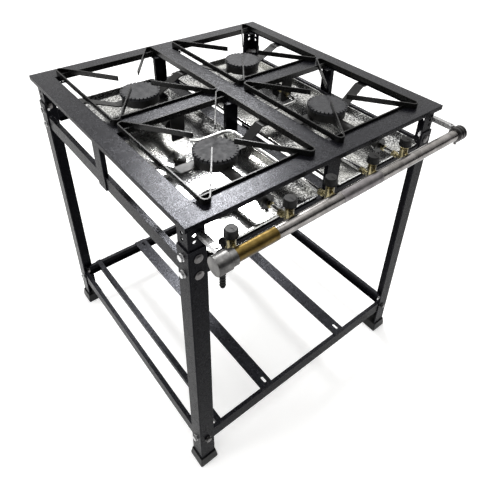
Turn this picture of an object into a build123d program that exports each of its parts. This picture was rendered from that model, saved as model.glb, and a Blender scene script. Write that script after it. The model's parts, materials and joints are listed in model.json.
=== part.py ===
"""Four-burner gas range on a tall bolted stand.

Millimetres, +Z up: +X runs to the right along the gas manifold, +Y runs to the back. The parts are
laid out from the floor point below the front left corner of the top frame, and saved with the
origin at the middle of the front left foot's sole.
"""
import math
import os

from build123d import *

# Overall frame
WIDTH = 750.0            # top frame, left to right
DEPTH = 750.0            # top frame, front to back
HEIGHT = 840.0           # floor to the top of the frame
RAIL = 50.0              # width of every top rail
LIP = 12.0               # depth of the folded lip of a rail
SHEET = 2.0              # sheet of all pressed channels
BEND = 2.5               # outside bend radius of pressed channels
MIDDLE = WIDTH / 2
BAY = (WIDTH - 3 * RAIL) / 2
NEAR_CENTRE = RAIL + BAY / 2
FAR_CENTRE = WIDTH - NEAR_CENTRE
BAYS = {
    "front_left": (NEAR_CENTRE, NEAR_CENTRE),
    "front_right": (FAR_CENTRE, NEAR_CENTRE),
    "back_left": (NEAR_CENTRE, FAR_CENTRE),
    "back_right": (FAR_CENTRE, FAR_CENTRE),
}
# The burners of the left bays stand a little off the middle of their bays
CENTRES = {
    "front_left": (NEAR_CENTRE + 3, NEAR_CENTRE - 2),
    "front_right": (FAR_CENTRE, NEAR_CENTRE),
    "back_left": (NEAR_CENTRE + 8, FAR_CENTRE - 7),
    "back_right": (FAR_CENTRE, FAR_CENTRE),
}
PLATE_UNDER = HEIGHT - SHEET
TOP_BEND = 1.0           # the top rails are pressed sharp and ground flush where they meet
LIP_UNDER = HEIGHT - LIP

# Legs, brackets and feet
LEG_INSET = 8.0          # leg face behind the edge of the top frame
LEG_SIZE = 40.0
LEG_SHEET = 3.0
LEG_TOP = 770.0
LEG_BOTTOM = 6.0
BRACKET_INSET = LEG_INSET + LEG_SHEET
BRACKET_SIZE = LEG_SIZE - LEG_SHEET
BRACKET_BOTTOM = 697.0
FOOT_BASE = 52.0
FOOT_TOP = 46.0
FOOT_HEIGHT = 28.0
FOOT_RIM = 7.0
FACE_HOLE = 29.0         # bolt line on each leg face, from the edge of the top frame
BOLT_HEIGHTS = (748.0, 705.0)
SPARE_HOLE_HEIGHTS = (803.0, 788.0)
SPARE_HOLE_SIDE = 32.0
SPARE_HOLE_FRONT = 25.0
FOOT_BOLT_HEIGHT = 109.0
HOLE_RADIUS = 4.3
SPARE_HOLE_RADIUS = 4.5

# Tray ring below the top frame
RING_TOP = 735.0
RING_DEPTH = 38.0
FLANGE = 12.0
POST_WIDTH = 38.0

# Stretchers and shelf bars near the floor
STRETCHER_TOP = 128.0
STRETCHER_DEPTH = 38.0
SHELF_BAR = 39.0
SHELF_BAR_X = (231.5, 518.5)
SHELF_SLOT_Y = 36.0
EDGE_BAR_X = 64.0
EDGE_BAR = 15.0

# Burners
CUP_RADIUS = 48.0
CUP_WALL = 3.4
CUP_BOTTOM = 790.0
CUP_TOP = 812.0
CUP_FLOOR = 4.0
CAP_RADIUS = 51.5
CAP_TOP = 820.0
CAP_GAP = 0.3
CAP_SLOTS = 30
CAP_SLOT_WIDTH = 3.4
CAP_SLOT_DEPTH = 6.0
CAP_SLOT_HEIGHT = 6.5
GAS_Z = 785.0            # height of injectors, feed tubes and venturis
VENTURI_RADIUS = 12.0
VENTURI_BORE = 8.5
MOUTH_RADIUS = 17.0
MOUTH_LENGTH = 16.0
MOUTH_Y = {"front": 25.0, "back": 392.0}
SUPPORT_WIDTH = 28.0
SUPPORT_OFFSET = 17.0    # support bar behind the burner axis
SUPPORT_SHEET = 3.0

# Grates
GRATE_HALF_WIDTH = 141.0
GRATE_STRIP = 3.0
GRATE_HEIGHT = 13.0
GRATE_GAP = 0.3
GRATE_TIP_RADIUS = 46.0
GRATE_BEND = 9.0
GRATE_CORNER = 187.0     # where the lines of an arm and a side strip would cross

# Gas manifold
PIPE_Y = -65.0
PIPE_Z = 797.0
PIPE_RADIUS = 13.35
PIPE_WALL = 2.6
PIPE_LEFT = 40.0
PIPE_RIGHT = 735.0
VALVE_X = (67.0, 203.0, 312.0, 440.0, 550.0)
VALVE_Y = -40.0
TUBE_RADIUS = 4.75
INJECTOR_PLATE_Y = 352.0
INJECTOR_RADIUS = 3.95

os.makedirs("parts", exist_ok=True)


def save(builder, name):
    """Label one sub-part and write it as its own file, measured from the front left foot."""
    foot = LEG_INSET + LEG_SIZE / 2
    placed = builder.part.moved(Location((-foot, -foot, 0)))
    placed.label = name
    export_step(placed, f"parts/{name}.step")


def block(x_range, y_range, z_range, mode=Mode.ADD):
    """Box between two coordinates on each axis."""
    spans = (x_range, y_range, z_range)
    centre = [(low + high) / 2 for low, high in spans]
    size = [high - low for low, high in spans]
    with Locations(tuple(centre)):
        Box(*size, mode=mode)


def rod(start, direction, radius, length, mode=Mode.ADD):
    """Round bar from a start point along a direction."""
    with Locations(Plane(origin=start, z_dir=direction)):
        Cylinder(radius, length, align=(Align.CENTER, Align.CENTER, Align.MIN), mode=mode)


def cone(start, direction, bottom, top, length, mode=Mode.ADD):
    """Tapered round bar from a start point along a direction."""
    with Locations(Plane(origin=start, z_dir=direction)):
        Cone(bottom, top, length, align=(Align.CENTER, Align.CENTER, Align.MIN), mode=mode)


def hexagon(start, direction, flats, length, mode=Mode.ADD):
    """Hexagonal prism, such as a nut, from a start point along a direction."""
    with BuildSketch(Plane(origin=start, z_dir=direction)) as outline:
        RegularPolygon(flats / math.sqrt(3), 6)
    extrude(outline.sketch, amount=length, mode=mode)


def channel(centre, width_dir, out_dir, length, width, depth, bend=BEND):
    """Pressed channel: the web faces out_dir at the centre point, the flanges run back from it."""
    run = Vector(*width_dir).cross(Vector(*out_dir))
    with BuildSketch(Plane(origin=centre, x_dir=width_dir, z_dir=run)) as profile:
        Rectangle(width, depth, align=(Align.CENTER, Align.MAX))
        fillet(profile.vertices().group_by(Axis(centre, out_dir))[-1], bend)
        with Locations((0, -SHEET)):
            Rectangle(width - 2 * SHEET, depth - SHEET, align=(Align.CENTER, Align.MAX), mode=Mode.SUBTRACT)
    extrude(profile.sketch, amount=length / 2, both=True)


def angle_bar(corner, signs, size, sheet, bottom, top):
    """Upright angle with its outer corner at the given point, legs running along the signs."""
    step_x, step_y = signs
    outline = ((0, 0), (size, 0), (size, sheet), (sheet, sheet), (sheet, size), (0, size))
    points = [(corner[0] + step_x * x, corner[1] + step_y * y) for x, y in outline]
    with BuildSketch(Plane.XY.offset(bottom)) as profile:
        with BuildLine():
            Polyline(*points, close=True)
        make_face()
        fillet(profile.vertices().sort_by_distance((*points[0], bottom))[0], BEND)
    extrude(profile.sketch, amount=top - bottom)


def corners(inset):
    """The four corners of the stand, each with the directions that lead inwards."""
    for step_y, y in ((1, inset), (-1, DEPTH - inset)):
        for step_x, x in ((1, inset), (-1, WIDTH - inset)):
            yield (x, y), (step_x, step_y)


def face_points(height, side_line=FACE_HOLE, front_line=FACE_HOLE):
    """Hole positions at one height: side faces first, then front and back faces."""
    sides = []
    fronts = []
    for (x, y), (step_x, step_y) in corners(LEG_INSET):
        along_side = side_line - LEG_INSET
        along_front = front_line - LEG_INSET
        sides.append(((x, y + step_y * along_side, height), (step_x, 0, 0)))
        fronts.append(((x + step_x * along_front, y, height), (0, step_y, 0)))
    return sides, fronts


def drill(height, radius, reach, side_line=FACE_HOLE, front_line=FACE_HOLE):
    """Holes through both faces of every corner at one height."""
    for group in face_points(height, side_line, front_line):
        for point, inward in group:
            start = Vector(*point) - Vector(*inward) * reach
            rod(start, inward, radius, 3 * reach, mode=Mode.SUBTRACT)


# Top frame: seven pressed rails
for name, y in (("top_rail_front", RAIL / 2), ("top_rail_back", DEPTH - RAIL / 2)):
    with BuildPart() as top_rail:
        channel((MIDDLE, y, HEIGHT), (0, 1, 0), (0, 0, 1), WIDTH, RAIL, LIP, TOP_BEND)
        inside = (y - RAIL / 2 + SHEET, y + RAIL / 2 - SHEET)
        block((0, SHEET), inside, (LIP_UNDER, PLATE_UNDER))
        block((WIDTH - SHEET, WIDTH), inside, (LIP_UNDER, PLATE_UNDER))
        ends = top_rail.edges().filter_by(Axis.Y).group_by(Axis.Z)[-1]
        fillet(ends, SHEET * 0.6)
    save(top_rail, name)

TAB = 21.0
TAB_HOLE = 3.0
BAY_ENDS = ((RAIL, 1), (MIDDLE - RAIL / 2, -1), (MIDDLE + RAIL / 2, 1), (DEPTH - RAIL, -1))


def corner_tabs(edge, side):
    """Small drilled gussets at the foot of a side lip, one in each corner of the bays."""
    for y, step in BAY_ENDS:
        span_x = sorted((edge - side, edge + side * TAB))
        span_y = sorted((y, y + step * TAB))
        block(span_x, span_y, (LIP_UNDER, LIP_UNDER + SHEET))
        for share in (0.35, 0.72):
            spot = (edge + side * TAB * share, y + step * TAB * 0.5, LIP_UNDER - 1)
            rod(spot, (0, 0, 1), TAB_HOLE, 2 * SHEET, mode=Mode.SUBTRACT)


for name, x, sides in (
    ("top_rail_left", RAIL / 2, (1,)),
    ("top_rail_right", WIDTH - RAIL / 2, (-1,)),
    ("top_rail_center", MIDDLE, (-1, 1)),
):
    with BuildPart() as side_rail:
        channel((x, MIDDLE, HEIGHT), (1, 0, 0), (0, 0, 1), DEPTH - 2 * RAIL, RAIL, LIP, TOP_BEND)
        for side in sides:
            corner_tabs(x + side * RAIL / 2, side)
    save(side_rail, name)

with BuildPart() as cross_rails:
    for x in (NEAR_CENTRE, FAR_CENTRE):
        channel((x, MIDDLE, HEIGHT), (0, 1, 0), (0, 0, 1), BAY, RAIL, LIP, TOP_BEND)
save(cross_rails, "cross_rails")

# Corner brackets hang below the top frame, with two spare holes in each face
with BuildPart() as corner_brackets:
    for point, signs in corners(BRACKET_INSET):
        angle_bar(point, signs, BRACKET_SIZE, LEG_SHEET, BRACKET_BOTTOM, PLATE_UNDER)
    for height in BOLT_HEIGHTS:
        drill(height, HOLE_RADIUS, 3 * LEG_SHEET)
    for height in SPARE_HOLE_HEIGHTS:
        drill(height, SPARE_HOLE_RADIUS, 3 * LEG_SHEET, SPARE_HOLE_SIDE, SPARE_HOLE_FRONT)
save(corner_brackets, "corner_brackets")

# Tray ring: four channels on edge between the brackets, and the centre bar
INNER_START = BRACKET_INSET + BRACKET_SIZE
RING_LENGTH = WIDTH - 2 * INNER_START
RING_Z = RING_TOP - RING_DEPTH / 2
for name, spot, outward in (
    ("tray_rail_left", (BRACKET_INSET, MIDDLE, RING_Z), (-1, 0, 0)),
    ("tray_rail_right", (WIDTH - BRACKET_INSET, MIDDLE, RING_Z), (1, 0, 0)),
    ("tray_rail_front", (MIDDLE, BRACKET_INSET, RING_Z), (0, -1, 0)),
    ("tray_rail_back", (MIDDLE, DEPTH - BRACKET_INSET, RING_Z), (0, 1, 0)),
):
    with BuildPart() as ring_rail:
        channel(spot, (0, 0, 1), outward, RING_LENGTH, RING_DEPTH, FLANGE)
    save(ring_rail, name)

with BuildPart() as tray_rail_center:
    clear_length = DEPTH - 2 * (BRACKET_INSET + FLANGE)
    channel((MIDDLE, MIDDLE, RING_TOP), (1, 0, 0), (0, 0, 1), clear_length, RAIL, FLANGE)
save(tray_rail_center, "tray_rail_center")

# Middle posts: four overlap the outside of the ring, one stands on the centre bar
with BuildPart() as mid_posts:
    for spot, width_dir, outward in (
        ((LEG_INSET, MIDDLE), (0, 1, 0), (-1, 0, 0)),
        ((WIDTH - LEG_INSET, MIDDLE), (0, 1, 0), (1, 0, 0)),
        ((MIDDLE, LEG_INSET), (1, 0, 0), (0, -1, 0)),
        ((MIDDLE, DEPTH - LEG_INSET), (1, 0, 0), (0, 1, 0)),
        ((MIDDLE, MIDDLE - 6), (1, 0, 0), (0, -1, 0)),
    ):
        post_z = (RING_TOP + PLATE_UNDER) / 2
        channel((*spot, post_z), width_dir, outward, PLATE_UNDER - RING_TOP, POST_WIDTH, FLANGE)
    post_span = (MIDDLE - POST_WIDTH / 2, MIDDLE + POST_WIDTH / 2)
    overlap = (RING_TOP - RING_DEPTH, RING_TOP)
    for inset, outer in ((LEG_INSET, BRACKET_INSET), (WIDTH - LEG_INSET, WIDTH - BRACKET_INSET)):
        across = sorted((inset, outer))
        block(across, post_span, overlap)
        block(post_span, across, overlap)
save(mid_posts, "mid_posts")

# Legs and their plastic feet
for (point, signs), name in zip(
    corners(LEG_INSET), ("leg_front_left", "leg_front_right", "leg_back_left", "leg_back_right")
):
    with BuildPart() as leg:
        angle_bar(point, signs, LEG_SIZE, LEG_SHEET, LEG_BOTTOM, LEG_TOP)
        for height in (*BOLT_HEIGHTS, FOOT_BOLT_HEIGHT):
            drill(height, HOLE_RADIUS, 2 * LEG_SHEET)
    save(leg, name)

with BuildPart() as feet:
    half_leg = LEG_SIZE / 2
    for (x, y), (step_x, step_y) in corners(LEG_INSET):
        middle = (x + step_x * half_leg, y + step_y * half_leg)
        with BuildSketch(Plane.XY) as base:
            with Locations(middle):
                RectangleRounded(FOOT_BASE, FOOT_BASE, 3)
        with BuildSketch(Plane.XY.offset(FOOT_RIM)) as rim:
            with Locations(middle):
                RectangleRounded(FOOT_BASE, FOOT_BASE, 3)
        with BuildSketch(Plane.XY.offset(FOOT_HEIGHT)) as crown:
            with Locations(middle):
                RectangleRounded(FOOT_TOP, FOOT_TOP, 3)
        extrude(base.sketch, amount=FOOT_RIM)
        loft((rim.sketch, crown.sketch))
    for point, signs in corners(LEG_INSET):
        step_x, step_y = signs
        reach_x = point[0] + step_x * LEG_SIZE
        reach_y = point[1] + step_y * LEG_SIZE
        wall_x = point[0] + step_x * LEG_SHEET
        wall_y = point[1] + step_y * LEG_SHEET
        pocket = (LEG_BOTTOM, FOOT_HEIGHT + 1)
        block(sorted((point[0], reach_x)), sorted((point[1], wall_y)), pocket, Mode.SUBTRACT)
        block(sorted((point[0], wall_x)), sorted((point[1], reach_y)), pocket, Mode.SUBTRACT)
save(feet, "feet")

# Lower stretchers: channels on edge inside the legs, flanges cut back at the corners
STRETCHER_Z = STRETCHER_TOP - STRETCHER_DEPTH / 2
FLANGE_START = BRACKET_INSET + FLANGE + 2
for name, spot, outward in (
    ("stretcher_left", (BRACKET_INSET, MIDDLE, STRETCHER_Z), (-1, 0, 0)),
    ("stretcher_right", (WIDTH - BRACKET_INSET, MIDDLE, STRETCHER_Z), (1, 0, 0)),
    ("stretcher_front", (MIDDLE, BRACKET_INSET, STRETCHER_Z), (0, -1, 0)),
    ("stretcher_back", (MIDDLE, DEPTH - BRACKET_INSET, STRETCHER_Z), (0, 1, 0)),
):
    with BuildPart() as stretcher:
        channel(spot, (0, 0, 1), outward, WIDTH - 2 * FLANGE_START, STRETCHER_DEPTH, FLANGE)
        tab_start = BRACKET_INSET + (SHEET if outward[0] else 0)
        web = (STRETCHER_TOP - STRETCHER_DEPTH + BEND, STRETCHER_TOP - BEND)
        face = sorted((spot[0] if outward[0] else spot[1],
                       (spot[0] if outward[0] else spot[1]) - sum(outward) * SHEET))
        for span in ((tab_start, FLANGE_START), (WIDTH - FLANGE_START, WIDTH - tab_start)):
            if outward[0]:
                block(face, span, web)
            else:
                block(span, face, web)
        drill(FOOT_BOLT_HEIGHT, HOLE_RADIUS, 3 * LEG_SHEET)
    save(stretcher, name)

# Shelf bars lie across the front and back stretchers; the left one is a light angle
with BuildPart() as shelf_bars:
    shelf_span = (BRACKET_INSET + 1, DEPTH - BRACKET_INSET - 1)
    shelf_z = (STRETCHER_TOP, STRETCHER_TOP + LEG_SHEET)
    for x in SHELF_BAR_X:
        block((x - SHELF_BAR / 2, x + SHELF_BAR / 2), shelf_span, shelf_z)
        for y in (SHELF_SLOT_Y, DEPTH - SHELF_SLOT_Y):
            with Locations((x + 4, y, STRETCHER_TOP)):
                Box(8, 12, 4 * LEG_SHEET, mode=Mode.SUBTRACT)
            for end in (-6, 6):
                rod((x + 4, y + end, STRETCHER_TOP - 1), (0, 0, 1), 4, 3 * LEG_SHEET, Mode.SUBTRACT)
    block((EDGE_BAR_X, EDGE_BAR_X + EDGE_BAR), shelf_span, shelf_z)
    drop_span = (BRACKET_INSET + FLANGE + 1, DEPTH - BRACKET_INSET - FLANGE - 1)
    drop_z = (STRETCHER_TOP - EDGE_BAR + LEG_SHEET, STRETCHER_TOP)
    block((EDGE_BAR_X, EDGE_BAR_X + SHEET), drop_span, drop_z)
save(shelf_bars, "shelf_bars")

# Bolts: hexagon heads on the side faces, flat round heads on the front and back faces
BOLT_RADIUS = 4.0


def bolt_set(point, inward, grip, round_head):
    """Bolt with its washer outside a face, and the nut and washer behind the grip."""
    inside = Vector(*inward)
    outside = inside * -1
    face = Vector(*point)
    if round_head:
        rod(face, outside, 10, 1.6)
        cone(face + outside * 1.6, outside, 9.2, 6.0, 1.8)
    else:
        rod(face, outside, 8.5, 1.6)
        hexagon(face + outside * 1.6, outside, 13, 5.3)
    rod(face + outside * 1.6, inside, BOLT_RADIUS, grip + 12)
    rod(face + inside * grip, inside, 8.5, 1.6)
    hexagon(face + inside * (grip + 1.6), inside, 13, 6.5)


LEG_GRIP = 2 * LEG_SHEET
STRETCHER_GRIP = LEG_SHEET + SHEET
with BuildPart() as side_bolts:
    for height in BOLT_HEIGHTS:
        for point, inward in face_points(height)[0]:
            bolt_set(point, inward, LEG_GRIP, False)
    for point, inward in face_points(FOOT_BOLT_HEIGHT)[0]:
        bolt_set(point, inward, STRETCHER_GRIP, False)
save(side_bolts, "side_bolts")

with BuildPart() as face_bolts:
    for height in BOLT_HEIGHTS:
        for point, inward in face_points(height)[1]:
            bolt_set(point, inward, LEG_GRIP, True)
    for point, inward in face_points(FOOT_BOLT_HEIGHT)[1]:
        bolt_set(point, inward, STRETCHER_GRIP, False)
save(face_bolts, "face_bolts")

# Burner supports: flat bars that dip from the rail lips to carry the burners
SUPPORT_LOW = CUP_BOTTOM - SUPPORT_SHEET / 2
SUPPORT_HIGH = LIP_UNDER - SUPPORT_SHEET / 2
SUPPORT_FLAT = {"front": 88.0, "back": 60.0}
SUPPORT_RISE = 138.0
SUPPORT_END = 158.0
with BuildPart() as burner_supports:
    for place, (x, y) in CENTRES.items():
        flat = SUPPORT_FLAT[place.split("_")[0]]
        bay = BAYS[place][0] - x
        side_view = Plane(origin=(x, y + SUPPORT_OFFSET, 0), x_dir=(1, 0, 0), z_dir=(0, -1, 0))
        with BuildSketch(side_view) as strip:
            with BuildLine():
                Polyline(
                    (bay - SUPPORT_END, SUPPORT_HIGH),
                    (bay - SUPPORT_RISE, SUPPORT_HIGH),
                    (-flat, SUPPORT_LOW),
                    (flat, SUPPORT_LOW),
                    (bay + SUPPORT_RISE, SUPPORT_HIGH),
                    (bay + SUPPORT_END, SUPPORT_HIGH),
                )
                offset(amount=SUPPORT_SHEET / 2)
            make_face()
        extrude(strip.sketch, amount=SUPPORT_WIDTH / 2, both=True)
save(burner_supports, "burner_supports")

# Burner castings: cup floor, elbow and venturi that runs forward to its bell mouth. A hub on three
# arms inside the mouth carries the injector and the air shutter. The cup's wall is a turned ring
# that stands in a seat on the cup floor.
SEAT_Z = CUP_BOTTOM + CUP_FLOOR
RING_FIT = 0.05
HUB_RADIUS = 6.5
HUB_FRONT = 5.0
HUB_BACK = 6.0
INJECTOR_FIT = 4.0
for place, (x, y) in CENTRES.items():
    mouth = MOUTH_Y[place.split("_")[0]]
    with BuildPart() as burner:
        rod((x, y, CUP_BOTTOM), (0, 0, 1), CUP_RADIUS, CUP_TOP - CUP_BOTTOM)
        fillet(burner.edges().filter_by(GeomType.CIRCLE).group_by(Axis.Z)[0], 3)
        with Locations((x, y - VENTURI_RADIUS, GAS_Z)):
            Sphere(VENTURI_RADIUS + 2)
        rod((x, y - VENTURI_RADIUS, GAS_Z), (0, -1, 0), VENTURI_RADIUS, y - VENTURI_RADIUS - mouth)
        cone((x, mouth, GAS_Z), (0, 1, 0), MOUTH_RADIUS, VENTURI_RADIUS, MOUTH_LENGTH)
        rod((x, y, SEAT_Z), (0, 0, 1), CUP_RADIUS - CUP_WALL, CUP_TOP, Mode.SUBTRACT)
        rod((x, mouth - 1, GAS_Z), (0, 1, 0), VENTURI_BORE, y - VENTURI_RADIUS - mouth, Mode.SUBTRACT)
        cone((x, mouth, GAS_Z), (0, 1, 0), MOUTH_RADIUS - 2, VENTURI_BORE, MOUTH_LENGTH, Mode.SUBTRACT)
        rod((x, y - VENTURI_RADIUS, GAS_Z), (0, 0, 1), VENTURI_BORE, CUP_TOP - GAS_Z, Mode.SUBTRACT)
        rod((x, mouth - HUB_FRONT, GAS_Z), (0, 1, 0), HUB_RADIUS, HUB_FRONT + HUB_BACK)
        for turn in (90, 210, 330):
            arm_dir = (math.cos(math.radians(turn)), 0, math.sin(math.radians(turn)))
            rod((x, mouth + 2.2, GAS_Z), arm_dir, 1.6, MOUTH_RADIUS - 2.2)
        hub_length = HUB_FRONT + HUB_BACK
        rod((x, mouth - HUB_FRONT - 1, GAS_Z), (0, 1, 0), INJECTOR_FIT, hub_length + 2, Mode.SUBTRACT)
        rod((x, y, SEAT_Z), (0, 0, 1), CUP_RADIUS + RING_FIT, CUP_TOP - SEAT_Z + 1, Mode.SUBTRACT)
        rod((x, y, SEAT_Z + RING_FIT), (0, 0, 1), CUP_RADIUS, CUP_TOP - SEAT_Z - RING_FIT)
        rod((x, y, SEAT_Z), (0, 0, 1), CUP_RADIUS - CUP_WALL, CUP_TOP - SEAT_Z + 1, Mode.SUBTRACT)
    save(burner, f"burner_{place}")

# Burner caps: slotted rim over the cup, with a spigot that drops inside it
SPIGOT_RADIUS = CUP_RADIUS - CUP_WALL - 0.3
CAP_BOTTOM = CUP_TOP + CAP_GAP
for place, (x, y) in CENTRES.items():
    with BuildPart() as cap:
        rod((x, y, CAP_BOTTOM), (0, 0, 1), CAP_RADIUS, CAP_TOP - CAP_BOTTOM)
        fillet(cap.edges().filter_by(GeomType.CIRCLE).group_by(Axis.Z)[-1], 1.2)
        rod((x, y, CAP_BOTTOM - 6), (0, 0, 1), SPIGOT_RADIUS, 7)
        rod((x, y, CAP_BOTTOM - 7), (0, 0, 1), SPIGOT_RADIUS - 4, 10, Mode.SUBTRACT)
        with Locations((x, y, CAP_TOP)):
            with PolarLocations(CAP_RADIUS, CAP_SLOTS):
                Box(2 * CAP_SLOT_DEPTH, CAP_SLOT_WIDTH, 2 * CAP_SLOT_HEIGHT, mode=Mode.SUBTRACT)
    save(cap, f"burner_cap_{place}")

# Grates: two bent strips on edge, tied by a bar inside the front and the back of the bay
TIP_X = GRATE_TIP_RADIUS * 0.63
TIP_Y = GRATE_TIP_RADIUS * 0.78
TIE_Y = 147.0
TIE_Z = (831.5, 846.0)
GRATE_Z = (HEIGHT + GRATE_GAP, HEIGHT + GRATE_GAP + GRATE_HEIGHT)
LINE_X = GRATE_HALF_WIDTH - GRATE_STRIP / 2
for place, (x, y) in BAYS.items():
    with BuildPart() as grate:
        for side in (-1, 1):
            with BuildSketch(Plane.XY.offset(GRATE_Z[0])) as strip:
                with BuildLine(Plane.XY.offset(GRATE_Z[0])):
                    FilletPolyline(
                        (x + side * TIP_X, y - TIP_Y),
                        (x + side * LINE_X, y - GRATE_CORNER),
                        (x + side * LINE_X, y + GRATE_CORNER),
                        (x + side * TIP_X, y + TIP_Y),
                        radius=GRATE_BEND,
                    )
                    offset(amount=GRATE_STRIP / 2, side=Side.BOTH)
                make_face()
            extrude(strip.sketch, amount=GRATE_HEIGHT)
        for step in (-1, 1):
            tie = sorted((y + step * TIE_Y - GRATE_STRIP / 2, y + step * TIE_Y + GRATE_STRIP / 2))
            block((x - LINE_X, x + LINE_X), tie, TIE_Z)
    save(grate, f"grate_{place}")

# Drip trays: shallow folded pans with a rolled rim
TRAY_X = {"left": (52.0, 346.0), "right": (404.0, 698.0)}
TRAY_Y = (12.0, 731.0)
TRAY_BOTTOM = RING_TOP + 0.3
TRAY_TOP = 747.0
TRAY_SHEET = 1.2
TRAY_ROLL = 2.6
for side, (left, right) in TRAY_X.items():
    with BuildPart() as tray:
        pan_x = (left + TRAY_ROLL, right - TRAY_ROLL)
        pan_y = (TRAY_Y[0] + TRAY_ROLL, TRAY_Y[1] - TRAY_ROLL)
        block(pan_x, pan_y, (TRAY_BOTTOM, TRAY_TOP))
        fillet(tray.edges().filter_by(Axis.Z), 9)
        fillet(tray.edges().group_by(Axis.Z)[0], 2)
        with BuildSketch(Plane.XY.offset(TRAY_TOP - TRAY_ROLL)) as rim:
            with Locations(((left + right) / 2, (TRAY_Y[0] + TRAY_Y[1]) / 2)):
                RectangleRounded(right - left, TRAY_Y[1] - TRAY_Y[0], 11)
        extrude(rim.sketch, amount=TRAY_ROLL)
        outer_rim = tray.faces().sort_by(Axis.Z)[-1].outer_wire().edges()
        fillet(outer_rim, TRAY_ROLL * 0.45)
        with BuildSketch(Plane.XY.offset(TRAY_BOTTOM + TRAY_SHEET)) as hollow:
            with Locations(((left + right) / 2, (TRAY_Y[0] + TRAY_Y[1]) / 2)):
                margin = 2 * (TRAY_ROLL + TRAY_SHEET)
                RectangleRounded(right - left - margin, TRAY_Y[1] - TRAY_Y[0] - margin, 8)
        extrude(hollow.sketch, amount=TRAY_TOP, mode=Mode.SUBTRACT)
    save(tray, f"drip_tray_{side}")

# Air shutters turn on the hubs in front of the bell mouths
SHUTTER_SHEET = 2.0
SHUTTER_GAP = 0.3
for place, (x, y) in CENTRES.items():
    mouth = MOUTH_Y[place.split("_")[0]]
    back = mouth - SHUTTER_GAP
    with BuildPart() as shutter:
        rod((x, back, GAS_Z), (0, -1, 0), MOUTH_RADIUS + 1, SHUTTER_SHEET)
        block((x - 4, x + 4), (back - SHUTTER_SHEET, back), (GAS_Z - 25, GAS_Z - MOUTH_RADIUS + 2))
        fillet(shutter.edges().filter_by(Axis.Y).group_by(Axis.Z)[0], 2.5)
        rod((x, back - SHUTTER_SHEET, GAS_Z - 21), (0, -1, 0), 2.6, 3)
        rod((x, back + 1, GAS_Z), (0, -1, 0), HUB_RADIUS + 0.06, 6, Mode.SUBTRACT)
        for turn in (90, 210, 330):
            face = Plane((x, back, GAS_Z), x_dir=(1, 0, 0), z_dir=(0, -1, 0)).rotated((0, 0, turn))
            with Locations(face):
                with Locations((12, 0, 0)):
                    Box(5, 9, 10, mode=Mode.SUBTRACT)
    save(shutter, f"air_shutter_{place}")

# Gas manifold pipe with five tapped holes
INLET_RADIUS = 5.5
with BuildPart() as manifold_pipe:
    rod((PIPE_LEFT, PIPE_Y, PIPE_Z), (1, 0, 0), PIPE_RADIUS, PIPE_RIGHT - PIPE_LEFT)
    pipe_length = PIPE_RIGHT - PIPE_LEFT
    rod((PIPE_LEFT - 1, PIPE_Y, PIPE_Z), (1, 0, 0), PIPE_RADIUS - PIPE_WALL, pipe_length + 2, Mode.SUBTRACT)
    for x in VALVE_X:
        rod((x, PIPE_Y, PIPE_Z), (0, 1, 0), INLET_RADIUS, 2 * PIPE_RADIUS, Mode.SUBTRACT)
save(manifold_pipe, "manifold_pipe")

# Inlet elbow and end cap, each with a lug at the back that its arm is screwed to
ELBOW_X = (12.0, 55.0)
ELBOW_RADIUS = 19.0
SOCKET = PIPE_RADIUS + 0.05
BARB_X = 30.0
ARM_SHEET = 2.5
ARM_TOP = 809.0
ARM_WIDTH = 12.0
ARM_X = {"left": 36.5, "right": 735.5}
ARM_FRONT = -47.0
LUG_Y = (-56.0, -33.0)
LUG_INNER = ARM_WIDTH / 2 - ARM_SHEET
LUG_OUTER = 5.0
ARM_SCREW_Y = -40.0
with BuildPart() as inlet_elbow:
    rod((ELBOW_X[0], PIPE_Y, PIPE_Z), (1, 0, 0), ELBOW_RADIUS, 30)
    fillet(inlet_elbow.edges().filter_by(GeomType.CIRCLE).group_by(Axis.X)[0], 1.6)
    fillet(inlet_elbow.edges().filter_by(GeomType.CIRCLE).group_by(Axis.X)[-1], 1.6)
    rod((ELBOW_X[0] + 28, PIPE_Y, PIPE_Z), (1, 0, 0), ELBOW_RADIUS - 2.6, ELBOW_X[1] - ELBOW_X[0] - 28)
    rod((BARB_X, PIPE_Y, 775), (0, 0, 1), 7.5, 12)
    rod((47, PIPE_Y, 771), (0, 0, 1), 4, 12)
    block((ARM_X["left"] - LUG_INNER, ARM_X["left"] + LUG_OUTER), LUG_Y, (797, ARM_TOP - ARM_SHEET))
    rod((ELBOW_X[0] + 4, PIPE_Y, PIPE_Z), (1, 0, 0), SOCKET, 60, Mode.SUBTRACT)
    rod((BARB_X, PIPE_Y, 774), (0, 0, 1), 4.5, 20, Mode.SUBTRACT)
    rod((ARM_X["left"], ARM_SCREW_Y, 796), (0, 0, 1), 2.5, 14, Mode.SUBTRACT)
save(inlet_elbow, "inlet_elbow")

END_CAP_X = (716.0, 746.0)
with BuildPart() as end_cap:
    rod((END_CAP_X[0], PIPE_Y, PIPE_Z), (1, 0, 0), 16.6, END_CAP_X[1] - END_CAP_X[0])
    fillet(end_cap.edges().filter_by(GeomType.CIRCLE).group_by(Axis.X)[-1], 4)
    for rib_x in (718, 728, 738):
        rod((rib_x, PIPE_Y, PIPE_Z), (1, 0, 0), 18, 3.5)
    rod((731, PIPE_Y, 767), (0, 0, 1), 3.5, 14)
    block((ARM_X["right"] - LUG_INNER, ARM_X["right"] + LUG_OUTER), LUG_Y, (797, ARM_TOP - ARM_SHEET))
    rod((END_CAP_X[0] - 1, PIPE_Y, PIPE_Z), (1, 0, 0), SOCKET, PIPE_RIGHT - END_CAP_X[0] + 1, Mode.SUBTRACT)
    rod((ARM_X["right"], ARM_SCREW_Y, 796), (0, 0, 1), 2.5, 14, Mode.SUBTRACT)
save(end_cap, "end_cap")

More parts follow.
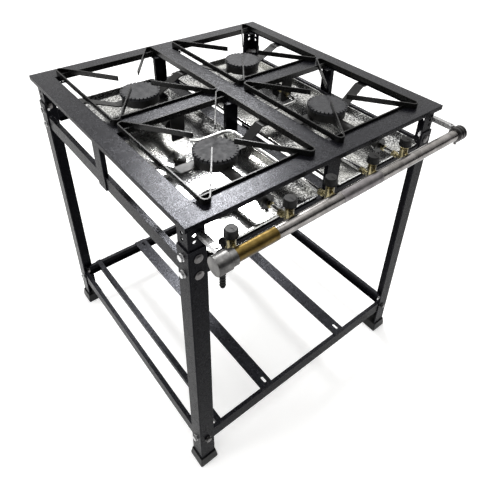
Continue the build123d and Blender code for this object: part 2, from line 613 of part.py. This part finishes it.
# Hose barb below the inlet elbow
with BuildPart() as hose_barb:
    rod((BARB_X, PIPE_Y, 775), (0, 0, 1), 4.5, 8)
    hexagon((BARB_X, PIPE_Y, 770), (0, 0, 1), 12, 5)
    rod((BARB_X, PIPE_Y, 740), (0, 0, 1), 4.4, 31)
    for ridge in (738, 744.5, 751, 757.5):
        cone((BARB_X, PIPE_Y, ridge), (0, 0, 1), 4.2, 5.8, 5)
    rod((BARB_X, PIPE_Y, 737), (0, 0, 1), 2.4, 50, Mode.SUBTRACT)
save(hose_barb, "hose_barb")

# Arms carry the manifold: light angles welded to the front faces of the brackets
with BuildPart() as manifold_arms:
    for x in ARM_X.values():
        left = x - ARM_WIDTH / 2
        right = x + ARM_WIDTH / 2
        block((left, right), (ARM_FRONT, BRACKET_INSET), (ARM_TOP - ARM_SHEET, ARM_TOP))
        block((left, left + ARM_SHEET), (ARM_FRONT + 1, BRACKET_INSET), (ARM_TOP - ARM_WIDTH, ARM_TOP))
        rod((x, ARM_SCREW_Y, ARM_TOP - 5), (0, 0, 1), 2.6, 8, Mode.SUBTRACT)
save(manifold_arms, "manifold_arms")

with BuildPart() as arm_screws:
    for x in ARM_X.values():
        rod((x, ARM_SCREW_Y, ARM_TOP), (0, 0, -1), 2.5, 9)
        cone((x, ARM_SCREW_Y, ARM_TOP), (0, 0, 1), 4.3, 3.0, 2.4)
save(arm_screws, "arm_screws")

# Gas valves: brass body, inlet screwed into the pipe, outlet towards the burners
BODY_RADIUS = 9.0
BODY_Z = (779.0, 812.0)
BONNET_TOP = 817.0
PLUG_RADIUS = 4.0
STEM_RADIUS = 3.0
OUTLET_END = -16.0
with BuildPart() as valve_bodies:
    for x in VALVE_X:
        rod((x, VALVE_Y, BODY_Z[0]), (0, 0, 1), BODY_RADIUS, BODY_Z[1] - BODY_Z[0])
        hexagon((x, VALVE_Y, BODY_Z[0] - 3), (0, 0, 1), 12, 3)
        rod((x, VALVE_Y, BODY_Z[1]), (0, 0, 1), 6.5, BONNET_TOP - BODY_Z[1])
        rod((x, VALVE_Y, PIPE_Z), (0, -1, 0), INLET_RADIUS, VALVE_Y - PIPE_Y - 9.5)
        rod((x, VALVE_Y, GAS_Z), (0, 1, 0), 5, OUTLET_END - VALVE_Y)
        rod((x, VALVE_Y, 786), (0, 0, 1), PLUG_RADIUS + 0.06, 20, Mode.SUBTRACT)
        rod((x, VALVE_Y, 800), (0, 0, 1), STEM_RADIUS + 0.06, 20, Mode.SUBTRACT)
        rod((x, PIPE_Y + 5, PIPE_Z), (0, 1, 0), 2.5, VALVE_Y - PIPE_Y - 5, Mode.SUBTRACT)
        rod((x, VALVE_Y, GAS_Z), (0, 1, 0), 2.5, 40, Mode.SUBTRACT)
save(valve_bodies, "valve_bodies")

# Blanking cap on the first outlet, which feeds no burner
with BuildPart() as outlet_plug:
    rod((VALVE_X[0], OUTLET_END - 12, GAS_Z), (0, 1, 0), 7.5, 19)
    fillet(outlet_plug.edges().filter_by(GeomType.CIRCLE).group_by(Axis.Y)[-1], 2)
    rod((VALVE_X[0], OUTLET_END - 13, GAS_Z), (0, 1, 0), 5.05, 13, Mode.SUBTRACT)
save(outlet_plug, "outlet_plug")

# Knobs, each pressed onto the stem of the valve plug that it turns
KNOB_RADIUS = 14.0
KNOB_Z = (820.0, 836.0)
GRIP_TOP = KNOB_Z[1] - 4
for number, x in enumerate(VALVE_X, start=1):
    with BuildPart() as knob:
        cone((x, VALVE_Y, KNOB_Z[0]), (0, 0, 1), KNOB_RADIUS, KNOB_RADIUS - 0.8, GRIP_TOP - KNOB_Z[0])
        cone((x, VALVE_Y, GRIP_TOP), (0, 0, 1), KNOB_RADIUS - 1.2, KNOB_RADIUS - 2, KNOB_Z[1] - GRIP_TOP)
        fillet(knob.edges().filter_by(GeomType.CIRCLE).group_by(Axis.Z)[-1], 1.2)
        with Locations((x, VALVE_Y, (KNOB_Z[0] + GRIP_TOP) / 2)):
            with PolarLocations(KNOB_RADIUS + 0.6, 16):
                Cylinder(1.3, GRIP_TOP - KNOB_Z[0] - 2, mode=Mode.SUBTRACT)
        block((x - 1, x + 1), (VALVE_Y - 9, VALVE_Y), (KNOB_Z[1] - 0.8, KNOB_Z[1] + 1), Mode.SUBTRACT)
        rod((x, VALVE_Y, 786.3), (0, 0, 1), PLUG_RADIUS, 19)
        rod((x, VALVE_Y, 805), (0, 0, 1), STEM_RADIUS, KNOB_Z[0] - 804)
        rod((x, VALVE_Y - 5, GAS_Z + 3), (0, 1, 0), 1.4, 10, Mode.SUBTRACT)
    save(knob, f"knob_{number}")

# Feed tubes: short straight ones to the front burners, bent ones to the back burners
TUBE_START = OUTLET_END + 0.2
TUBE_BEND = 24.0
BACK_LEFT_X = CENTRES["back_left"][0]
BACK_RIGHT_X = CENTRES["back_right"][0]
TUBE_PATHS = (
    ((VALVE_X[1], TUBE_START), (CENTRES["front_left"][0], 10)),
    ((VALVE_X[4], TUBE_START), (CENTRES["front_right"][0], 10)),
    ((VALVE_X[2], TUBE_START), (VALVE_X[2], 292), (BACK_LEFT_X, 292), (BACK_LEFT_X, 344)),
    ((VALVE_X[3], TUBE_START), (VALVE_X[3], 306), (BACK_RIGHT_X, 306), (BACK_RIGHT_X, 344)),
)
with BuildPart() as feed_tubes:
    for points in TUBE_PATHS:
        spots = [(x, y, GAS_Z) for x, y in points]
        with BuildLine() as route:
            if len(spots) == 2:
                Line(*spots)
            else:
                FilletPolyline(*spots, radius=TUBE_BEND)
        for radius, mode in ((TUBE_RADIUS, Mode.ADD), (TUBE_RADIUS - 1, Mode.SUBTRACT)):
            with BuildSketch(Plane(origin=spots[0], z_dir=(0, 1, 0))) as section:
                Circle(radius)
            sweep(section.sketch, path=route.wire(), mode=mode)
save(feed_tubes, "feed_tubes")

# Brass fittings: compression nuts on the four outlets in use, and the injectors, whose nozzles
# end inside the bell mouths
with BuildPart() as gas_fittings:
    for x in VALVE_X[1:]:
        hexagon((x, OUTLET_END - 8, GAS_Z), (0, 1, 0), 13, 11)
        rod((x, OUTLET_END - 9, GAS_Z), (0, 1, 0), 5, 9, Mode.SUBTRACT)
        rod((x, OUTLET_END - 9, GAS_Z), (0, 1, 0), TUBE_RADIUS, 20, Mode.SUBTRACT)
    for place, (x, y) in CENTRES.items():
        row = place.split("_")[0]
        mouth = MOUTH_Y[row]
        seat = 10 if row == "front" else 344
        hexagon((x, seat, GAS_Z), (0, 1, 0), 13, 7)
        rod((x, seat + 7, GAS_Z), (0, 1, 0), INJECTOR_RADIUS, mouth + 2 - seat - 7)
        cone((x, mouth + 2, GAS_Z), (0, 1, 0), INJECTOR_RADIUS, 1.8, 3)
        rod((x, seat - 1, GAS_Z), (0, 1, 0), 1.0, mouth - seat + 8, Mode.SUBTRACT)
save(gas_fittings, "gas_fittings")

# Holder plates hang from the cross rails and carry the rear injectors
HOLDER_WIDTH = 36.0
HOLDER_SHEET = 2.5
HOLDER_BOTTOM = 766.0
with BuildPart() as injector_plates:
    for x, middle in ((BACK_LEFT_X, NEAR_CENTRE + 3), (BACK_RIGHT_X, FAR_CENTRE)):
        across = (middle - HOLDER_WIDTH / 2, middle + HOLDER_WIDTH / 2)
        block(across, (INJECTOR_PLATE_Y, INJECTOR_PLATE_Y + HOLDER_SHEET), (HOLDER_BOTTOM, PLATE_UNDER))
        fillet(injector_plates.edges().filter_by(Axis.Y).group_by(Axis.Z)[0], 4)
        block(across, (INJECTOR_PLATE_Y, INJECTOR_PLATE_Y + 12), (PLATE_UNDER - HOLDER_SHEET, PLATE_UNDER))
        rod((x, INJECTOR_PLATE_Y - 1, GAS_Z), (0, 1, 0), INJECTOR_RADIUS, 6, Mode.SUBTRACT)
save(injector_plates, "injector_plates")
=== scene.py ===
"""Looks of the four-burner gas range: materials, small fitted pieces, floor, lights and camera."""
import json
import math

import bmesh
import bpy
from mathutils import Matrix, Vector


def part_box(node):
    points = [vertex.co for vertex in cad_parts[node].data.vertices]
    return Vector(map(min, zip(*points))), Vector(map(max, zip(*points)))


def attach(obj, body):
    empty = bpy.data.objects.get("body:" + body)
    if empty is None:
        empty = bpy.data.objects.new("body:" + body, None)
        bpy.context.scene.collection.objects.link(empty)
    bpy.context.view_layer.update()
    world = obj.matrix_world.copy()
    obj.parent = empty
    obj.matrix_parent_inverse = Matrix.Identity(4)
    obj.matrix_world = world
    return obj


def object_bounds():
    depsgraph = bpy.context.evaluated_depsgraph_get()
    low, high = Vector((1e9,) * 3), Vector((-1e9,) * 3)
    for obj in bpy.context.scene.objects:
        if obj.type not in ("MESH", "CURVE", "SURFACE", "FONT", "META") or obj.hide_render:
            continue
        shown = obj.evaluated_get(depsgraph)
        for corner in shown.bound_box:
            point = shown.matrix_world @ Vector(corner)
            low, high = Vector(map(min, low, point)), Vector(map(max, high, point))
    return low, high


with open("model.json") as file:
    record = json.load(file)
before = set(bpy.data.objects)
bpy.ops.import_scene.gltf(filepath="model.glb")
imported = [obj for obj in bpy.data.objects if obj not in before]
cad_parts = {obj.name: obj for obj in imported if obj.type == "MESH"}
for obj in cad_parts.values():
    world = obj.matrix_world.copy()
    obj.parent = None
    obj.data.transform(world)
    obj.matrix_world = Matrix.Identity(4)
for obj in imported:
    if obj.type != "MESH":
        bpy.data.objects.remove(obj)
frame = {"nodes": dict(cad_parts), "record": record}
nodes = frame["nodes"]
cad_low, cad_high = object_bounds()
scene = bpy.context.scene


# ---------------------------------------------------------------- node helpers

# Places of the colour sockets of the mix node, whose names repeat for each kind of value
MIX_FIRST, MIX_SECOND, MIX_RESULT = 6, 7, 2


class Tree:
    """Short calls for building one material's node tree."""

    def __init__(self, name):
        self.material = bpy.data.materials.new(name)
        self.material.use_nodes = True
        self.nodes = self.material.node_tree.nodes
        self.links = self.material.node_tree.links
        self.shader = self.nodes["Principled BSDF"]
        self.place = self.add("ShaderNodeTexCoord").outputs["Object"]

    def add(self, kind, **values):
        node = self.nodes.new(kind)
        for key, value in values.items():
            setattr(node, key, value)
        return node

    def feed(self, socket, value):
        """Link the socket if the value is an output, and set it otherwise."""
        if hasattr(value, "is_output"):
            self.links.new(value, socket)
        else:
            socket.default_value = value

    def stretch(self, scale):
        node = self.add("ShaderNodeMapping")
        self.links.new(self.place, node.inputs["Vector"])
        node.inputs["Scale"].default_value = scale
        return node.outputs["Vector"]

    def noise(self, scale, detail, rough, vector=None):
        node = self.add("ShaderNodeTexNoise")
        self.feed(node.inputs["Vector"], vector or self.place)
        node.inputs["Scale"].default_value = scale
        node.inputs["Detail"].default_value = detail
        node.inputs["Roughness"].default_value = rough
        return node.outputs["Fac"]

    def cells(self, scale, feature):
        node = self.add("ShaderNodeTexVoronoi", feature=feature)
        self.feed(node.inputs["Vector"], self.place)
        node.inputs["Scale"].default_value = scale
        return node.outputs["Distance"]

    def ramp(self, value, stops):
        node = self.add("ShaderNodeValToRGB")
        self.feed(node.inputs["Fac"], value)
        points = node.color_ramp.elements
        while len(points) < len(stops):
            points.new(0.5)
        for point, (where, colour) in zip(points, stops):
            point.position = where
            point.color = (*colour, 1.0)
        return node.outputs["Color"]

    def span(self, value, low, high, out_low, out_high):
        """Value from low to high, brought to out_low to out_high and kept inside them."""
        node = self.add("ShaderNodeMapRange")
        self.feed(node.inputs["Value"], value)
        for key, number in zip(("From Min", "From Max", "To Min", "To Max"), (low, high, out_low, out_high)):
            node.inputs[key].default_value = number
        return node.outputs["Result"]

    def mix(self, factor, first, second):
        """Colour between first and second; each is a socket or three numbers."""
        node = self.add("ShaderNodeMix", data_type="RGBA")
        self.feed(node.inputs["Factor"], factor)
        for number, colour in ((MIX_FIRST, first), (MIX_SECOND, second)):
            self.feed(node.inputs[number], colour if hasattr(colour, "is_output") else (*colour, 1.0))
        return node.outputs[MIX_RESULT]

    def math(self, kind, first, second):
        node = self.add("ShaderNodeMath", operation=kind)
        self.feed(node.inputs[0], first)
        self.feed(node.inputs[1], second)
        return node.outputs[0]

    def bump(self, height, distance, strength=1.0, below=None):
        node = self.add("ShaderNodeBump")
        self.feed(node.inputs["Height"], height)
        node.inputs["Distance"].default_value = distance
        node.inputs["Strength"].default_value = strength
        if below is not None:
            self.links.new(below, node.inputs["Normal"])
        return node.outputs["Normal"]

    def facing_up(self):
        """1 on level top faces, 0 on upright ones, -1 on undersides."""
        axes = self.add("ShaderNodeSeparateXYZ")
        self.links.new(self.add("ShaderNodeNewGeometry").outputs["Normal"], axes.inputs[0])
        return axes.outputs["Z"]

    def edge_highlight_mask(self, width):
        """1 along sharp outside edges, where a painted highlight is laid, and 0 on flats, as wide as given.
        """
        round_over = self.add("ShaderNodeBevel", samples=4)
        round_over.inputs["Radius"].default_value = width
        flat = self.add("ShaderNodeNewGeometry").outputs["Normal"]
        match = self.add("ShaderNodeVectorMath", operation="DOT_PRODUCT")
        self.links.new(round_over.outputs["Normal"], match.inputs[0])
        self.links.new(flat, match.inputs[1])
        return self.span(match.outputs["Value"], 0.995, 0.90, 0.0, 1.0)

    def set(self, **values):
        for key, value in values.items():
            self.feed(self.shader.inputs[key.replace("_", " ")], value)
        return self.material


def hammertone(name, dark, light):
    """Stoved hammer-finish paint: small dimples, with metal flake that settled on the level faces."""
    t = Tree(name)
    cell = t.cells(360.0, "SMOOTH_F1")
    fine = t.noise(1500.0, 2.0, 0.6)
    wide = t.noise(7.0, 3.0, 0.5)
    fleck = t.span(t.noise(760.0, 1.0, 0.5), 0.48, 0.62, 0.0, 1.0)
    colour = t.mix(fleck, dark, light)
    colour = t.mix(t.span(wide, 0.35, 0.7, 0.0, 0.4), colour, tuple(0.6 * c for c in dark))
    # Painted highlight: sharp outside edges are lightened to a pale grey.
    colour = t.mix(t.edge_highlight_mask(0.0012), colour, (0.05, 0.05, 0.056))
    rough = t.span(t.noise(60.0, 4.0, 0.6), 0.3, 0.7, 0.22, 0.30)
    level = t.span(t.facing_up(), 0.2, 0.9, 0.12, 1.0)
    shine = t.math("MULTIPLY", t.span(fleck, 0.0, 1.0, 0.16, 0.62), level)
    low = t.bump(cell, 0.0005, 0.25)
    normal = t.bump(fine, 0.0002, 0.25, low)
    t.set(Base_Color=colour, Roughness=rough, Normal=normal, Specular_IOR_Level=shine)
    return t.set(Specular_Tint=(0.86, 0.88, 1.0, 1.0))


def black_paint(name, shade, rough_low, rough_high):
    """Smooth black enamel with faint orange peel and uneven gloss."""
    t = Tree(name)
    wide = t.noise(22.0, 4.0, 0.55)
    colour = t.mix(t.span(wide, 0.35, 0.7, 0.0, 1.0), shade, tuple(1.9 * c for c in shade))
    rough = t.span(t.noise(120.0, 5.0, 0.6), 0.3, 0.7, rough_low, rough_high)
    low = t.bump(t.noise(160.0, 3.0, 0.5), 0.0004, 0.35)
    normal = t.bump(t.noise(700.0, 3.0, 0.6), 0.00012, 0.5, low)
    return t.set(Base_Color=colour, Roughness=rough, Normal=normal, Specular_IOR_Level=0.28)


def cast_iron(name, dark, light, metal):
    """Sand-cast surface, pitted and matt."""
    t = Tree(name)
    pits = t.cells(520.0, "F1")
    sand = t.noise(420.0, 5.0, 0.65)
    colour = t.mix(t.span(sand, 0.32, 0.7, 0.0, 1.0), dark, light)
    rough = t.span(t.noise(90.0, 4.0, 0.6), 0.3, 0.7, 0.42, 0.66)
    low = t.bump(sand, 0.0007, 0.6)
    normal = t.bump(pits, 0.0003, 0.35, low)
    return t.set(Base_Color=colour, Roughness=rough, Metallic=metal, Normal=normal, Specular_IOR_Level=0.3)


def galvanised(name):
    """Hot-dip zinc: small spangle flakes, crowded dark ones in wide cloudy patches."""
    t = Tree(name)
    bent = t.add("ShaderNodeVectorMath", operation="MULTIPLY_ADD")
    ripple = t.add("ShaderNodeTexNoise")
    t.links.new(t.place, ripple.inputs["Vector"])
    ripple.inputs["Scale"].default_value = 90.0
    t.links.new(ripple.outputs["Color"], bent.inputs[0])
    bent.inputs[1].default_value = (0.010, 0.010, 0.010)
    t.links.new(t.place, bent.inputs[2])
    flake = t.noise(210.0, 3.0, 0.6, bent.outputs[0])
    patch = t.span(t.noise(9.0, 3.0, 0.55), 0.36, 0.56, 0.15, 1.0)
    bright = t.ramp(flake, (
        (0.32, (0.30, 0.30, 0.29)),
        (0.46, (0.66, 0.66, 0.63)),
        (0.70, (0.88, 0.88, 0.84)),
    ))
    mottled = t.ramp(flake, (
        (0.38, (0.03, 0.03, 0.032)),
        (0.48, (0.26, 0.26, 0.265)),
        (0.60, (0.86, 0.87, 0.86)),
    ))
    colour = t.mix(patch, bright, mottled)
    rough = t.span(flake, 0.3, 0.7, 0.20, 0.07)
    rim = t.bump(flake, 0.0004, 0.25)
    sag = t.bump(t.noise(6.0, 2.0, 0.5), 0.003, 0.25, rim)
    scratch = t.bump(t.noise(240.0, 3.0, 0.6, t.stretch((1.0, 0.06, 1.0))), 0.00012, 0.3, sag)
    return t.set(Base_Color=colour, Roughness=rough, Metallic=1.0, Normal=scratch)


def bare_metal(name, dark, light, rough_low, rough_high, grain=(1.0, 1.0, 1.0), depth=0.00015, underside_shade=0.0):
    """Bare or plated metal with clouding and grain; whatever faces the ground is darkened as painted shade.
    """
    t = Tree(name)
    cloud = t.noise(45.0, 4.0, 0.6)
    colour = t.mix(t.span(cloud, 0.3, 0.72, 0.0, 1.0), dark, light)
    # Painted shade: faces pointing down are darkened towards near black, by the amount given.
    shade_below = t.span(t.facing_up(), 0.35, -0.45, 0.0, underside_shade)
    colour = t.mix(shade_below, colour, (0.02, 0.018, 0.016))
    streak = t.noise(380.0, 4.0, 0.6, t.stretch(grain))
    rough = t.span(streak, 0.3, 0.7, rough_low, rough_high)
    normal = t.bump(streak, depth, 0.5)
    return t.set(Base_Color=colour, Roughness=rough, Metallic=1.0, Normal=normal)


def moulded(name, shade, rough_low, rough_high):
    """Moulded plastic or rubber with a fine even grain."""
    t = Tree(name)
    colour = t.mix(t.span(t.noise(60.0, 4.0, 0.6), 0.35, 0.7, 0.0, 1.0), shade, tuple(1.7 * c for c in shade))
    rough = t.span(t.noise(260.0, 4.0, 0.6), 0.3, 0.7, rough_low, rough_high)
    normal = t.bump(t.noise(1100.0, 3.0, 0.6), 0.00015, 0.5)
    return t.set(Base_Color=colour, Roughness=rough, Normal=normal, Specular_IOR_Level=0.2)


looks = {
    "hammertone": hammertone("hammertone_paint", (0.002, 0.002, 0.003), (0.007, 0.007, 0.010)),
    "black_paint": black_paint("black_paint", (0.004, 0.004, 0.004), 0.26, 0.42),
    "grate_enamel": black_paint("grate_enamel", (0.003, 0.003, 0.003), 0.20, 0.34),
    "burner_iron": cast_iron("burner_cast_iron", (0.003, 0.003, 0.003), (0.014, 0.013, 0.012), 0.05),
    "cap_iron": cast_iron("cap_cast_iron", (0.008, 0.008, 0.010), (0.030, 0.031, 0.035), 0.08),
    "tray_zinc": galvanised("galvanised_tray"),
    "zinc_steel": bare_metal("zinc_plated_steel", (0.42, 0.42, 0.42), (0.74, 0.74, 0.75), 0.20, 0.40),
    "dark_steel": bare_metal("oiled_steel", (0.06, 0.06, 0.06), (0.20, 0.19, 0.19), 0.26, 0.46),
    # Painted shade darkens the undersides of the cast elbow and, less, of the brass.
    "cast_aluminium": bare_metal(
        "cast_aluminium", (0.07, 0.07, 0.07), (0.25, 0.245, 0.24), 0.30, 0.48, depth=0.0004, underside_shade=0.9),
    "tube_aluminium": bare_metal("drawn_aluminium", (0.70, 0.70, 0.69), (0.92, 0.92, 0.91), 0.14, 0.28),
    "brass": bare_metal("machined_brass", (0.13, 0.11, 0.05), (0.56, 0.49, 0.29), 0.18, 0.36, underside_shade=0.5),
    "black_plastic": moulded("black_plastic", (0.002, 0.002, 0.002), 0.30, 0.44),
    "black_rubber": moulded("black_rubber", (0.003, 0.003, 0.003), 0.45, 0.65),
}
# Painted shade darkens the undersides of the pipe and of both foil labels.
pipe_metal = bare_metal(
    "galvanised_pipe", (0.20, 0.19, 0.18), (0.46, 0.44, 0.43), 0.16, 0.32, (0.05, 1.0, 1.0), underside_shade=0.95)
gold_foil = bare_metal("gold_foil", (0.07, 0.045, 0.010), (0.20, 0.14, 0.045), 0.30, 0.50, underside_shade=0.8)
silver_foil = bare_metal("silver_foil", (0.16, 0.15, 0.155), (0.36, 0.34, 0.345), 0.30, 0.50, underside_shade=0.8)

# Each CAD piece takes the material of its slot in the record; the bare pipe has one of its own
slots = {part["node"]: part["material_slot"] for part in frame["record"]["subparts"]}
for name, node in nodes.items():
    material = pipe_metal if name == "manifold_pipe" else looks[slots[name]]
    if not node.data.materials:
        node.data.materials.append(material)
    for index in range(len(node.material_slots)):
        node.material_slots[index].link = "OBJECT"
        node.material_slots[index].material = material


def mesh_object(name, builder, material):
    """Object whose mesh is drawn by builder(bm)."""
    mesh = bpy.data.meshes.new(name)
    bm = bmesh.new()
    builder(bm)
    bm.to_mesh(mesh)
    bm.free()
    made = bpy.data.objects.new(name, mesh)
    made.data.materials.append(material)
    scene.collection.objects.link(made)
    return made


# Soft pressed and ground edges on every CAD piece
EDGE_ROUND = 0.0005
SHARPEST_KEPT = 50.0
for node in nodes.values():
    bevel = node.modifiers.new("soft_edges", "BEVEL")
    bevel.width = EDGE_ROUND
    bevel.segments = 2
    bevel.limit_method = "ANGLE"
    bevel.angle_limit = math.radians(SHARPEST_KEPT)


# ---------------------------------------------------------------- small fitted pieces

pipe_low, pipe_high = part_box("manifold_pipe")
pipe_radius = (pipe_high.z - pipe_low.z) / 2
pipe_axis = (pipe_low + pipe_high) / 2


FOIL_THICKNESS = 0.0002
FOIL_LIFT = 0.00025
FOIL_CORNER = 0.004


def foil(name, start, length, from_turn, to_turn, material):
    """Plain foil label wrapped part of the way round the manifold, with rounded corners.

    Turns are in degrees up from the pipe's front.
    """
    rows, columns = 40, 60
    reach = pipe_radius + FOIL_LIFT
    arc = math.radians(to_turn - from_turn) * pipe_radius

    def builder(bm):
        grid = []
        for i in range(columns + 1):
            x = length * i / columns
            inset = max(0.0, FOIL_CORNER - min(x, length - x))
            cut = FOIL_CORNER - math.sqrt(max(0.0, FOIL_CORNER ** 2 - inset ** 2))
            line = []
            for j in range(rows + 1):
                along = cut + (arc - 2 * cut) * j / rows
                turn = math.radians(from_turn) + along / pipe_radius
                spot = (start + x, pipe_axis.y - reach * math.cos(turn), pipe_axis.z + reach * math.sin(turn))
                line.append(bm.verts.new(spot))
            grid.append(line)
        for i in range(columns):
            for j in range(rows):
                bm.faces.new((grid[i][j], grid[i][j + 1], grid[i + 1][j + 1], grid[i + 1][j]))
        for face in bm.faces:
            face.smooth = True

    made = mesh_object(name, builder, material)
    thick = made.modifiers.new("foil", "SOLIDIFY")
    thick.thickness = FOIL_THICKNESS
    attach(made, "stand")
    return made


gold_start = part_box("inlet_elbow")[1].x + 0.001
silver_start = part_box("knob_3")[0].x + 0.018
foil("gold_label", gold_start, 0.092, -32.0, 112.0, gold_foil)
foil("silver_label", silver_start, 0.120, -28.0, 100.0, silver_foil)


# ---------------------------------------------------------------- floor, light, camera

def floor_material():
    """Matt white paper, lit a little from within so that shadows stay faint."""
    t = Tree("studio_floor")
    colour = t.mix(t.noise(3.0, 3.0, 0.5), (0.88, 0.88, 0.88), (0.92, 0.92, 0.92))
    return t.set(Base_Color=colour, Roughness=0.9, Emission_Color=colour, Emission_Strength=0.42)


middle = (cad_low + cad_high) / 2


FLOOR_HALF = 14.0
FLOOR_GAP = 0.0004


def floor_mesh(bm):
    """Flat square centred below the range."""
    bmesh.ops.create_grid(bm, x_segments=8, y_segments=8, size=FLOOR_HALF)
    bmesh.ops.translate(bm, verts=bm.verts, vec=(middle.x, middle.y, cad_low.z - FLOOR_GAP))


floor = mesh_object("studio_floor", floor_mesh, floor_material())


def studio_world():
    """Soft room: bright at the back and overhead, dim towards the front."""
    made = bpy.data.worlds.new("studio")
    made.use_nodes = True
    tree = made.node_tree
    coord = tree.nodes.new("ShaderNodeTexCoord")
    lean = tree.nodes.new("ShaderNodeVectorMath")
    lean.operation = "DOT_PRODUCT"
    lean.inputs[1].default_value = Vector((0.05, 0.72, 0.66)).normalized()
    tree.links.new(coord.outputs["Generated"], lean.inputs[0])
    ramp = tree.nodes.new("ShaderNodeValToRGB")
    points = ramp.color_ramp.elements
    points[0].position, points[0].color = 0.35, (0.02, 0.02, 0.022, 1.0)
    points[1].position, points[1].color = 0.80, (1.0, 0.99, 0.97, 1.0)
    shift = tree.nodes.new("ShaderNodeMapRange")
    shift.inputs["From Min"].default_value = -1.0
    tree.links.new(lean.outputs["Value"], shift.inputs["Value"])
    tree.links.new(shift.outputs["Result"], ramp.inputs["Fac"])
    tree.links.new(ramp.outputs["Color"], tree.nodes["Background"].inputs["Color"])
    tree.nodes["Background"].inputs["Strength"].default_value = 1.0
    return made


scene.world = studio_world()


def softbox(name, spot, aim, size, power):
    """Rectangular soft light at spot, turned towards aim, power in watts."""
    lamp = bpy.data.lights.new(name, "AREA")
    lamp.shape = "RECTANGLE"
    lamp.size, lamp.size_y = size
    lamp.energy = power
    made = bpy.data.objects.new(name, lamp)
    made.location = spot
    made.rotation_euler = (Vector(aim) - Vector(spot)).to_track_quat("-Z", "Y").to_euler()
    scene.collection.objects.link(made)


# The first one's reflection lies on the front left corner of the top frame
softbox("top_back", (1.45, 2.10, 2.75), (0.08, 0.04, 0.84), (0.75, 0.75), 56.0)
softbox("left_wall", (-2.6, 0.9, 1.5), middle, (0.7, 1.6), 22.0)
softbox("overhead", (0.2, 0.2, 3.4), middle, (3.0, 3.0), 40.0)

# Standing in front of the left corner and looking down; right, up and back are the camera's axes
camera_data = bpy.data.cameras.new("camera")
camera_data.sensor_width = 36.0
camera_data.lens = 36.293
camera_data.shift_x = -0.020
camera_data.shift_y = -0.1636
camera_data.clip_start = 0.05
camera_data.clip_end = 60.0
camera = bpy.data.objects.new("camera", camera_data)
scene.collection.objects.link(camera)
stand_point = Vector((-0.34143, -0.57658, 1.40462))
right = Vector((0.77378, -0.63275, 0.02987))
up = Vector((0.34232, 0.45737, 0.82075))
back = Vector((-0.53299, -0.62486, 0.5705))
camera.matrix_world = Matrix.Translation(stand_point) @ Matrix((right, up, back)).transposed().to_4x4()
scene.camera = camera

scene.view_settings.view_transform = "Standard"
scene.view_settings.look = "None"
